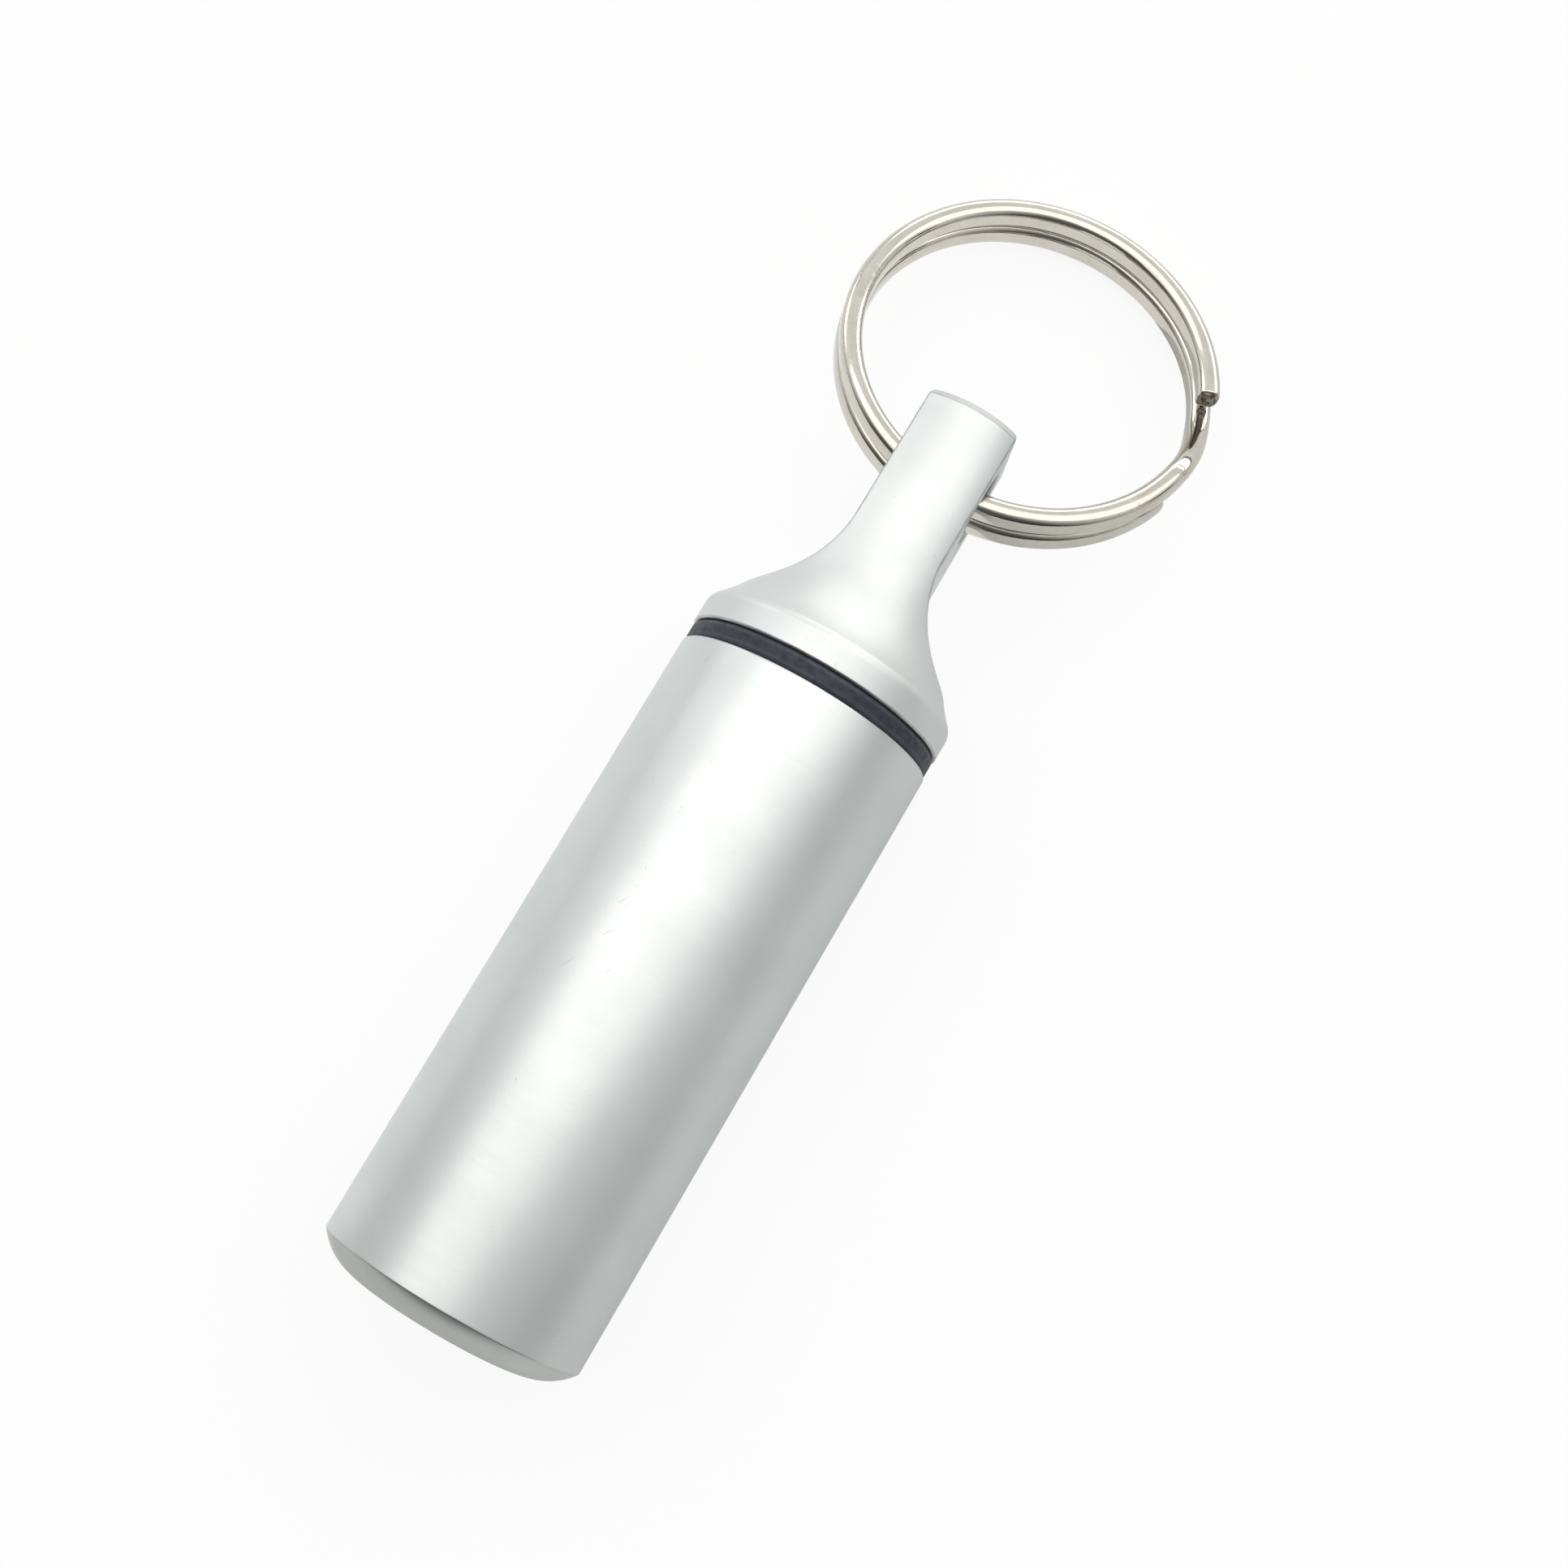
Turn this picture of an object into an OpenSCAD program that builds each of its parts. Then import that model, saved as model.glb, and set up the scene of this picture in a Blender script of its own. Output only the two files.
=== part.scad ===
// Pill fob keychain, lying on its side on a table as it would be put down.
// A closed metal tube with a threaded mouth, a screw cap that narrows to a flat tongue,
// a rubber sealing ring squeezed between the two, and a split ring through the tongue.
// +X runs from the closed bottom to the tongue and +Z is up from the table.
// The origin is the centre of the closed bottom face.

/* [Container body] */
// Outside diameter of the body and of the cap's flange
body_d = 16; // [15:0.25:20]
// Length from the closed bottom to the open rim
body_l = 39.5; // [32:0.5:60]
// Wall round the pill space
wall_t = 2; // [1.6:0.1:2.4]
// Wall left round the thread in the mouth
thread_wall = 1.45; // [1.3:0.05:1.6]
// Thickness of the closed bottom
floor_t = 2.4; // [1.6:0.1:4]
// Height of the rounded bottom edge, up to its crease
edge_h = 1.45; // [0.8:0.05:2]
// How far the rounded bottom edge comes in from the side
edge_in = 2.8; // [2:0.1:3.4]

/* [Screw thread] */
// Rise of the thread in one turn
thread_pitch = 1; // [0.8:0.05:1.25]
// Length of the thread on the cap
thread_l = 5; // [3:0.5:7]
// Free space between the two threads, measured across the axis
thread_gap = 0.1; // [0.08:0.01:0.1]
// Free space on each flank of the thread, measured along the axis
flank_gap = 0.06; // [0.05:0.01:0.08]

/* [Sealing ring] */
// Gap between the rim and the flange that the squeezed rubber fills
seal_gap = 1.2; // [1:0.05:1.3]
// Thickness of the rubber before it is squeezed
seal_d = 1.5; // [1.4:0.05:1.6]

/* [Screw cap] */
// Height of the flange's straight side
flange_t = 1.35; // [0.8:0.05:2.4]
// Rounding of the flange's shoulder
shoulder_r = 0.9; // [0.4:0.05:1.2]
// Radius of the hollow flare above the shoulder
flare_r = 10; // [8:0.25:12]
// Diameter where the flare runs into the slender part
neck_d = 10.4; // [9.6:0.1:11]
// Length of the slender part, from the flare to the top
tongue_l = 10.5; // [10:0.1:16]
// Diameter of the slender part at the top
tip_d = 9; // [8.4:0.1:9.6]
// Bevel round the top
tip_bevel = 0.45; // [0.2:0.05:0.6]
// Thickness of the tongue between its two milled sides
tongue_t = 5.7; // [4.5:0.1:6.5]
// Radius of the cutter that milled the two sides
cutter_r = 7; // [6:0.1:8]
// Distance from the top of the tongue to where the milled sides become flat
flat_l = 9; // [8.6:0.1:9.6]
// Diameter of the cross hole in the tongue
hole_d = 4.8; // [4.7:0.1:5.2]
// Distance from the top of the tongue to the middle of the cross hole
hole_drop = 4; // [3.6:0.1:4.4]

/* [Split ring] */
// Outside diameter of the split ring
ring_d = 23.6; // [20:0.1:30]
// Width of the ring's wire, across the ring
wire_w = 1.35; // [1.2:0.05:1.5]
// Height of the ring's wire, along the ring's axis
wire_h = 1.4; // [1.3:0.05:1.55]
// Gap between the two turns of the wire
turn_gap = 0.45; // [0.41:0.01:0.5]
// How far the ring has slid sideways through the hole
ring_shift = 0.9; // [0:0.05:1]

/* [Hidden] */

// Smallest working clearance between two faces that seal or rest
face_gap = 0.01;
// Overlap that welds two shapes of one piece together
weld = 0.1;
$fn = 96;

// Thread radii, from the root in the mouth's wall inwards to the core of the cap
body_r = body_d / 2;
cavity_r = body_r - wall_t;
thread_h = 0.55 * thread_pitch;
nut_root_r = body_r - thread_wall;
crest_r = nut_root_r - thread_gap;
core_r = crest_r - thread_h;
nut_crest_r = core_r + thread_gap;
pitch_r = (core_r + crest_r) / 2;
// Each thread fills half the pitch less its flank clearance at the pitch radius
ridge_w = thread_pitch / 2 - flank_gap;
// A 60 degree thread widens by this much for each unit towards its root
flank_slope = 2 * tan(30);
thread_steps = 32;
// The first and last part of a turn over which a thread runs out
run_out = 0.3;

// Cap stations along X, from the flange up to the top of the tongue
flange_x = body_l + seal_gap;
neck_r = neck_d / 2;
tip_r = tip_d / 2;
taper = atan((neck_r - tip_r) / (tongue_l - tip_bevel));
shoulder_x = flange_x + flange_t;
flare_reach = flare_r + shoulder_r;
flare_mid_r = neck_r + flare_r * cos(taper);
flare_side = flare_mid_r - (body_r - shoulder_r);
flare_x = shoulder_x + sqrt(pow(flare_reach, 2) - pow(flare_side, 2));
neck_x = flare_x - flare_r * sin(taper);
tip_x = neck_x + tongue_l;
hole_x = tip_x - hole_drop;
flat_x = tip_x - flat_l;

// Where the threads lie
relief_l = 1.6;
lead_in = 0.45;
thread_end_x = flange_x - relief_l;
thread_start_x = thread_end_x - thread_l;
spigot_x = thread_start_x - lead_in;
nut_start_x = spigot_x - 2 * thread_pitch;
nut_end_x = body_l - lead_in - run_out * thread_pitch;

// Rubber ring, squeezed to a rounded oblong while its section area stays the same
seal_h = seal_gap - 2 * face_gap;
seal_round = 0.3;
corners_cut = (4 - PI) * pow(seal_round, 2);
seal_w = (PI * pow(seal_d, 2) / 4 + corners_cut) / seal_h;
// Its outer face lies this much below the metal round it
seal_sink = 0.08;
seal_in_r = body_r - seal_sink - seal_w;
// The rubber lies loosely round the neck below the flange
seal_loose = 0.07;
relief_r = seal_in_r - seal_loose;

// Split ring
ring_r = ring_d / 2;
wire_r = ring_r - wire_w / 2;
wire_round = 0.59;
turn_rise = wire_h + turn_gap;
// The wire starts on the upper turn, steps down once and ends on the lower turn
end_a = -69;
step_a = 257;
step_b = 287;
end_b = 613;
// The step's section is a hair smaller, so that it ends inside both turns
step_inset = 0.015;
step_bite = 1;
step_count = 16;

// The wire hangs a little below and short of the hole's centre
hang_x = hole_x - 0.4;
hang_z = -0.2;
table_gap = 0.05;
// The ring leans down until its far side touches the table
lean_arm = wire_r + ring_r - wire_round;
lean_low = (turn_rise + wire_h) / 2 - wire_round;
lean_drop = hang_z + body_r - table_gap - wire_round;
lean = asin(lean_drop / norm([lean_arm, lean_low])) - atan2(lean_low, lean_arm);

// Turns a shape drawn along Z so that it runs along X
module along_x() {
    rotate([0, 90, 0])
        children();
}

// Solid of revolution about X from an outline of [station along X, radius] points
module turned(outline) {
    along_x()
        rotate_extrude()
            polygon([for (p = outline) [p[1], p[0]]]);
}

// Angle at which a thread that passes the origin's station at angle 0 reaches station x
function thread_phase(x) = 360 * x / thread_pitch;

// Width of a thread ridge at radius r, where the flanks are full
function ridge_width(r, inward) =
    ridge_w + (inward ? r - pitch_r : pitch_r - r) * flank_slope;

// How much of the thread's height stands at turn k out of n turns
function ridge_share(k, n) = min(1, k / run_out, (n - k) / run_out);

// The four corners of a ridge at turn k, as [radius, station] pairs
function ridge_corners(k, n, root, crest, buried, inward) =
    let (top = buried + (crest - buried) * ridge_share(k, n))
    let (wide = ridge_width(root, inward) / 2)
    let (slim = ridge_width(top, inward) / 2)
    [[root, -wide], [top, -slim], [top, slim], [root, wide]];

// Screw thread ridge along Z, from station z0 over n turns, as one swept strip
// root lies inside the metal, crest is the edge, buried is where the run-out ends
module thread_ridge(z0, n, root, crest, buried, phase, inward) {
    count = round(n * thread_steps);
    points = [
        for (i = [0 : count])
            let (k = i / thread_steps)
            let (turn = 360 * k + phase)
            for (c = ridge_corners(k, count / thread_steps, root, crest, buried, inward))
                [c[0] * cos(turn), c[0] * sin(turn), z0 + c[1] + k * thread_pitch]
    ];
    polyhedron(points, swept_faces(count, 4, inward));
}

// Triangles of a strip with count steps between rings of m points
function swept_faces(count, m, flip) =
    let (sides = [
        for (i = [0 : count - 1])
            for (j = [0 : m - 1])
                let (a = i * m + j)
                let (b = i * m + (j + 1) % m)
                for (t = [[a, b, b + m], [a, b + m, a + m]])
                    flip ? [t[2], t[1], t[0]] : t
    ])
    let (first = [for (j = [1 : m - 2]) flip ? [0, j, j + 1] : [0, j + 1, j]])
    let (base = count * m)
    let (last = [for (j = [1 : m - 2])
        flip ? [base, base + j + 1, base + j] : [base, base + j, base + j + 1]])
    concat(sides, first, last);

// Turned and bored tube: closed bottom with a rounded edge, straight wall, threaded mouth
module container_body() {
    chord = norm([edge_in, edge_h]);
    edge_tilt = atan2(edge_h, edge_in);
    edge_r = chord / (2 * sin(edge_tilt));
    mouth_x = nut_start_x + thread_pitch;
    // The last half pitch is left free for the ridge's own width
    mouth_turns = (nut_end_x - mouth_x) / thread_pitch - 0.5;
    color([0.80, 0.83, 0.83]) {
        difference() {
            union() {
                turned([[edge_h, 0], [edge_h, body_r], [body_l, body_r], [body_l, 0]]);
                intersection() {
                    along_x()
                        rotate_extrude()
                            union() {
                                square([body_r - edge_in, 2 * edge_h]);
                                translate([body_r - edge_in, edge_r])
                                    circle(edge_r);
                            }
                    turned([[0, 0], [0, body_r], [edge_h + weld, body_r], [edge_h + weld, 0]]);
                }
            }
            turned([
                [floor_t, 0],
                [floor_t, cavity_r],
                [nut_start_x, cavity_r],
                [nut_start_x + nut_root_r - cavity_r, nut_root_r],
                [body_l - lead_in, nut_root_r],
                [body_l + weld, nut_root_r + lead_in + weld],
                [body_l + weld, 0]
            ]);
        }
        along_x()
            thread_ridge(
                z0 = mouth_x,
                n = mouth_turns,
                root = nut_root_r + weld,
                crest = nut_crest_r,
                buried = nut_root_r + weld / 2,
                phase = thread_phase(mouth_x) + 180,
                inward = true
            );
    }
}

// Rounded rectangle round the origin, as exact shapes
module round_section(wide, high, corner) {
    square([wide - 2 * corner, high], center = true);
    square([wide, high - 2 * corner], center = true);
    for (side = [-1, 1])
        for (up = [-1, 1])
            translate([side * (wide / 2 - corner), up * (high / 2 - corner)])
                circle(corner);
}

// Rubber ring, flattened by the rim and the flange that squeeze it
module o_ring() {
    color([0.13, 0.15, 0.19])
        translate([body_l + seal_gap / 2, 0, 0])
            along_x()
                rotate_extrude()
                    translate([seal_in_r + seal_w / 2, 0])
                        round_section(seal_w, seal_h, seal_round);
}

// Outline of the cap's outside as it leaves the lathe, as [radius, station]
module cap_outline() {
    hollow = [flare_mid_r, flare_x];
    shoulder = [body_r - shoulder_r, shoulder_x];
    meet = hollow + (shoulder - hollow) * flare_r / flare_reach;
    difference() {
        union() {
            polygon([
                [0, flange_x],
                [body_r, flange_x],
                [body_r, shoulder_x],
                meet,
                [neck_r, neck_x],
                [tip_r, tip_x - tip_bevel],
                [tip_r - tip_bevel, tip_x],
                [0, tip_x]
            ]);
            translate(shoulder)
                circle(shoulder_r);
        }
        translate(hollow)
            circle(flare_r);
    }
}

// What the cutter takes off one side of the tongue, seen along Z
module side_cut() {
    translate([flat_x, tongue_t / 2])
        square([flat_l + weld, body_r]);
    translate([flat_x, tongue_t / 2 + cutter_r])
        circle(cutter_r);
}

// Flange, flared neck, tongue with its cross hole, and the threaded spigot below
module screw_cap() {
    color([0.83, 0.85, 0.85]) {
        difference() {
            along_x()
                rotate_extrude()
                    cap_outline();
            for (side = [0, 1])
                mirror([0, side, 0])
                    linear_extrude(height = 2 * body_d, center = true)
                        side_cut();
            translate([hole_x, 0, 0])
                rotate([90, 0, 0])
                    cylinder(h = body_d, r = hole_d / 2, center = true);
        }
        turned([
            [spigot_x, 0],
            [spigot_x, core_r - lead_in],
            [spigot_x + lead_in, core_r],
            [thread_end_x, core_r],
            [thread_end_x + relief_r - core_r, relief_r],
            [flange_x + weld, relief_r],
            [flange_x + weld, 0]
        ]);
        along_x()
            thread_ridge(
                z0 = thread_start_x + thread_pitch / 2,
                n = (thread_l - thread_pitch) / thread_pitch,
                root = core_r - weld,
                crest = crest_r,
                buried = core_r - weld / 2,
                phase = thread_phase(thread_start_x + thread_pitch / 2),
                inward = false
            );
    }
}

// Level of the wire's middle at angle t round the ring
function wire_level(t) =
    let (s = max(0, min(1, (t - step_a) / (step_b - step_a))))
    turn_rise / 2 - turn_rise * s * s * (3 - 2 * s);

// The wire's section as points, drawn in by inset
function section_points(inset) = [
    for (q = [0 : 3])
        for (i = [0 : 4])
            let (a = 90 * q + 22.5 * i)
            let (sx = q == 0 || q == 3 ? 1 : -1)
            let (sy = q < 2 ? 1 : -1)
            [sx * (wire_w / 2 - wire_round) + (wire_round - inset) * cos(a),
             sy * (wire_h / 2 - wire_round) + (wire_round - inset) * sin(a)]
];

// The section's points placed at angle t round the ring
function wire_ring(t, inset) = [
    for (p = section_points(inset))
        [(wire_r + p[0]) * cos(t), (wire_r + p[0]) * sin(t), wire_level(t) + p[1]]
];

// One flat turn of the wire between two angles
module flat_turn(from, to, level) {
    translate([0, 0, level])
        rotate([0, 0, from])
            rotate_extrude(angle = to - from)
                translate([wire_r, 0])
                    round_section(wire_w, wire_h, wire_round);
}

// The step where the wire goes from the upper turn down to the lower one
module wire_step() {
    first = step_a - step_bite;
    last = step_b + step_bite;
    points = [
        for (i = [0 : step_count])
            each wire_ring(first + (last - first) * i / step_count, step_inset)
    ];
    polyhedron(points, swept_faces(step_count, len(section_points(0)), false));
}

// Spring wire ring of two turns, closed by its own spring, through the tongue's hole
module split_ring() {
    color([0.72, 0.70, 0.66])
        translate([hang_x, -ring_shift, hang_z])
            rotate([0, lean, 0])
                translate([wire_r, 0, 0]) {
                    flat_turn(end_a, step_a, turn_rise / 2);
                    wire_step();
                    flat_turn(step_b, end_b, -turn_rise / 2);
                }
}

// Least gap between one turn of the wire and the next, on points a few degrees apart
gap_step = 6;
turn_gaps = [
    for (t = [end_a : gap_step : end_b - 360])
        for (u = [max(step_a, t + 360 - 2 * gap_step) : gap_step : min(end_b, t + 360 + 2 * gap_step)])
            for (p = wire_ring(t, 0))
                for (q = wire_ring(u, 0))
                    norm(p - q)
];
echo(least_wire_gap = min(turn_gaps));
echo(lean = lean, hole_x = hole_x, tip_x = tip_x);

container_body();
o_ring();
screw_cap();
split_ring();
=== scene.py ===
import math

import bmesh
import bpy
import numpy as np
from mathutils import Matrix, Vector


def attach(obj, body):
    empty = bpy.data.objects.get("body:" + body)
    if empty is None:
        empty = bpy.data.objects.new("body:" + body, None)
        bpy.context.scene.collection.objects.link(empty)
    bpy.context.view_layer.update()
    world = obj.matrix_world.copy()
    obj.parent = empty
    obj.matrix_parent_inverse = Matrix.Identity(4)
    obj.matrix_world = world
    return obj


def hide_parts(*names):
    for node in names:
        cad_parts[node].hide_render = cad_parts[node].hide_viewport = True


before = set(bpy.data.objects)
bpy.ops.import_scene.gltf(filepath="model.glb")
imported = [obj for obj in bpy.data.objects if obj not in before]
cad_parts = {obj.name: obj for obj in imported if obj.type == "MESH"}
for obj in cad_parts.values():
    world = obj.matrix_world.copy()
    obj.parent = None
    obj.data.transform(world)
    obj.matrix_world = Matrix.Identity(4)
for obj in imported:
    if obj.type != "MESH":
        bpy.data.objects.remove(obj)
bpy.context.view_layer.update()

# Container body: one aluminium tube turned from bar, with a closed bottom, a rounded bottom edge,
# a bored pill space and a screw thread cut inside its mouth. It is blasted with fine beads and
# clear anodised after turning, so the lathe's marks only just show through the satin.

# Sizes are in mm, x along the fob from the closed bottom and r from its axis
MM = 0.001
body_r = 8.0
body_l = 39.5
cavity_r = 6.0
cavity_corner = 0.5
floor_t = 2.4
# The bottom edge is an arc that starts flush with the bottom and meets the wall in a crease
edge_h = 1.45
edge_in = 2.8
edge_r = (edge_in**2 + edge_h**2) / (2 * edge_h)
crease_round = 0.1
mouth_round = 0.13
bore_round = 0.06
# The mouth's thread, between its root and its crest, and the cap's thread that turns in it
nut_root_r = 6.55
nut_crest_r = 6.0
nut_start_x = 31.65
nut_turns = 5.6
core_r = 5.9
crest_r = 6.45
lead_in = 0.45
thread_corner = 0.04
thread_pitch = 1.0
pitch_r = (core_r + crest_r) / 2
ridge_w = 0.44
flank_slope = 2 * math.tan(math.radians(30))
# A ridge starts a little inside its wall, and runs out over part of a turn
buried = 0.05
run_out = 0.3
turn_points = 72
near_crest = 0.02
crest_wear = 0.8


def rounded_outline(corners, steps=5, support=0.08, largest_share=0.45, end_wear=0.6):
    """Outline points (x, r, wear) in mm from corners (x, r, fillet).

    Each filleted corner becomes an arc that takes at most the largest share of the straights
    beside it. Points at the support's distance from the arc keep those straights flat.
    """
    points = []
    for i, (x, r, fillet) in enumerate(corners):
        here = np.array([x, r], float)
        if fillet <= 0 or i in (0, len(corners) - 1):
            points.append((x, r, 0.0))
            continue
        before = np.array(corners[i - 1][:2], float) - here
        after = np.array(corners[i + 1][:2], float) - here
        room_before, room_after = np.linalg.norm(before), np.linalg.norm(after)
        before /= room_before
        after /= room_after
        half = math.acos(max(-1.0, min(1.0, float(before @ after)))) / 2
        room = min(room_before, room_after)
        reach = min(fillet / math.tan(half), room * largest_share)
        radius = reach * math.tan(half)
        inward = (before + after) / np.linalg.norm(before + after)
        centre = here + inward * radius / math.sin(half)
        start = here + before * reach - centre
        end = here + after * reach - centre
        turn = math.atan2(start[0] * end[1] - start[1] * end[0], float(start @ end))
        if room_before > reach + 3 * support:
            p = here + before * (reach + support)
            points.append((p[0], p[1], 0.0))
        for k in range(steps + 1):
            c, s = math.cos(turn * k / steps), math.sin(turn * k / steps)
            p = centre + np.array([c * start[0] - s * start[1], s * start[0] + c * start[1]])
            points.append((p[0], p[1], 1.0 if 0 < k < steps else end_wear))
        if room_after > reach + 3 * support:
            p = here + after * (reach + support)
            points.append((p[0], p[1], 0.0))
    return points


def arc(centre, radius, start, end, count):
    """Outline corners without a fillet along a circle, from one angle to another in degrees."""
    turns = np.radians(np.linspace(start, end, count))
    return [(centre[0] + radius * math.cos(t), centre[1] + radius * math.sin(t), 0) for t in turns]


def joined_rows(rows):
    """Faces between one row of vertex numbers and the next; a row of one number is a pole."""
    faces = []
    for a, b in zip(rows, rows[1:]):
        for i in range(max(len(a), len(b))):
            j = (i + 1) % max(len(a), len(b))
            if len(a) == 1:
                faces.append((a[0], b[j], b[i]))
            elif len(b) == 1:
                faces.append((a[i], a[j], b[0]))
            else:
                faces.append((a[i], a[j], b[j], b[i]))
    return faces


on_axis = 1e-6


def lathe_shell(outline, around=192, closed=False):
    """Turns an outline of (x, r, wear) in mm about the X axis into (vertices, faces, wear)."""
    turns = np.arange(around) * 2 * np.pi / around
    vertices, wear, rows = [], [], []
    for x, r, w in outline:
        ring = [(x, 0.0, 0.0)]
        if r > on_axis:
            ring = [(x, r * math.sin(t), r * math.cos(t)) for t in turns]
        rows.append(list(range(len(vertices), len(vertices) + len(ring))))
        vertices += ring
        wear += [w] * len(ring)
    return vertices, joined_rows(rows + rows[:1] if closed else rows), wear


def solid_mesh(name, shells, sharp_angle=30):
    """One mesh in metres from (vertices, faces, wear) shells, smooth but for its sharp edges."""
    vertices, faces, wear = [], [], []
    for shell_vertices, shell_faces, shell_wear in shells:
        start = len(vertices)
        vertices += [(x * MM, y * MM, z * MM) for x, y, z in shell_vertices]
        faces += [tuple(start + i for i in face) for face in shell_faces]
        wear += list(shell_wear)
    mesh = bpy.data.meshes.new(name)
    mesh.from_pydata(vertices, [], faces)
    layer = mesh.attributes.new("edge_wear", "FLOAT", "POINT")
    layer.data.foreach_set("value", np.array(wear, np.float32))
    outward(mesh)
    mesh.shade_smooth()
    mesh.set_sharp_from_angle(angle=math.radians(sharp_angle))
    return mesh


def outward(mesh):
    """Turns every face of a closed mesh to the outside."""
    shell = bmesh.new()
    shell.from_mesh(mesh)
    bmesh.ops.recalc_face_normals(shell, faces=shell.faces[:])
    shell.to_mesh(mesh)
    shell.free()


def finished_piece(name, mesh, material, body, node):
    """Adds a mesh as the piece that stands for a CAD node, its normals even on broad faces."""
    piece = bpy.data.objects.new(name, mesh)
    bpy.context.scene.collection.objects.link(piece)
    even = piece.modifiers.new("even_normals", "WEIGHTED_NORMAL")
    even.keep_sharp = True
    shown = piece.evaluated_get(bpy.context.evaluated_depsgraph_get())
    plain = bpy.data.meshes.new_from_object(shown)
    piece.modifiers.remove(even)
    piece.data = plain
    plain.name = name
    plain.materials.clear()
    plain.materials.append(material)
    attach(piece, body)
    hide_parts(node)
    return piece


def put(tree, kind, operation=None, **inputs):
    """Adds a node; each input is a number, a tuple or a socket.

    Inputs are named as on the node, with _ for a space, or i0, i1 and so on by their place.
    """
    node = tree.nodes.new(kind)
    if operation:
        node.operation = operation
    for name, value in inputs.items():
        key = int(name[1:]) if name[0] == "i" and name[1:].isdigit() else name.replace("_", " ")
        if isinstance(value, bpy.types.NodeSocket):
            tree.links.new(value, node.inputs[key])
        else:
            node.inputs[key].default_value = value
    return node


def maths(tree, operation, first, second=None, third=None):
    """Output of a Math node between sockets or numbers."""
    given = {f"i{k}": v for k, v in enumerate((first, second, third)) if v is not None}
    return put(tree, "ShaderNodeMath", operation, **given).outputs[0]


def new_tree(name, kind, inputs, outputs):
    """A node group with named inputs (name: default) and outputs (name: socket type)."""
    tree = bpy.data.node_groups.new(name, kind)
    for socket_name, value in inputs.items():
        colour = isinstance(value, tuple)
        socket_type = "NodeSocketColor" if colour else "NodeSocketFloat"
        socket = tree.interface.new_socket(socket_name, in_out="INPUT", socket_type=socket_type)
        socket.default_value = value
    for socket_name, socket_type in outputs.items():
        tree.interface.new_socket(socket_name, in_out="OUTPUT", socket_type=socket_type)
    return tree, tree.nodes.new("NodeGroupInput").outputs, tree.nodes.new("NodeGroupOutput").inputs


def grown_mesh(tree, values, material):
    """Runs a Geometry Nodes tree with its named inputs set and returns a plain mesh."""
    carrier = bpy.data.objects.new(tree.name, bpy.data.meshes.new(tree.name))
    bpy.context.scene.collection.objects.link(carrier)
    grown = carrier.modifiers.new("grown", "NODES")
    grown.node_group = tree
    for item in tree.interface.items_tree:
        if item.item_type == "SOCKET" and item.in_out == "INPUT" and item.name in values:
            grown[item.identifier] = values[item.name]
    shown = carrier.evaluated_get(bpy.context.evaluated_depsgraph_get())
    mesh = bpy.data.meshes.new_from_object(shown)
    bpy.data.objects.remove(carrier)
    mesh.materials.clear()
    mesh.materials.append(material)
    return mesh


def upright_path(tree, path, spots):
    """Moves a path's points to their spots, with its normals level."""
    moved = put(tree, "GeometryNodeSetPosition", Geometry=path, Position=spots)
    upright = put(tree, "GeometryNodeSetCurveNormal", Curve=moved.outputs[0])
    upright.mode = "Z_UP"
    return upright.outputs[0]


def swept_output(tree, path, section, scale, material, output):
    """Ends a tree: sweeps the section along the path, realises it and sets its material."""
    swept = put(tree, "GeometryNodeCurveToMesh", Curve=path, Profile_Curve=section, Scale=scale)
    swept.inputs["Fill Caps"].default_value = True
    real = put(tree, "GeometryNodeRealizeInstances", Geometry=swept.outputs[0])
    dressed = put(tree, "GeometryNodeSetMaterial", Geometry=real.outputs[0])
    dressed.inputs["Material"].default_value = material
    tree.links.new(dressed.outputs[0], output)


smallest_scale = 0.02


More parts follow.
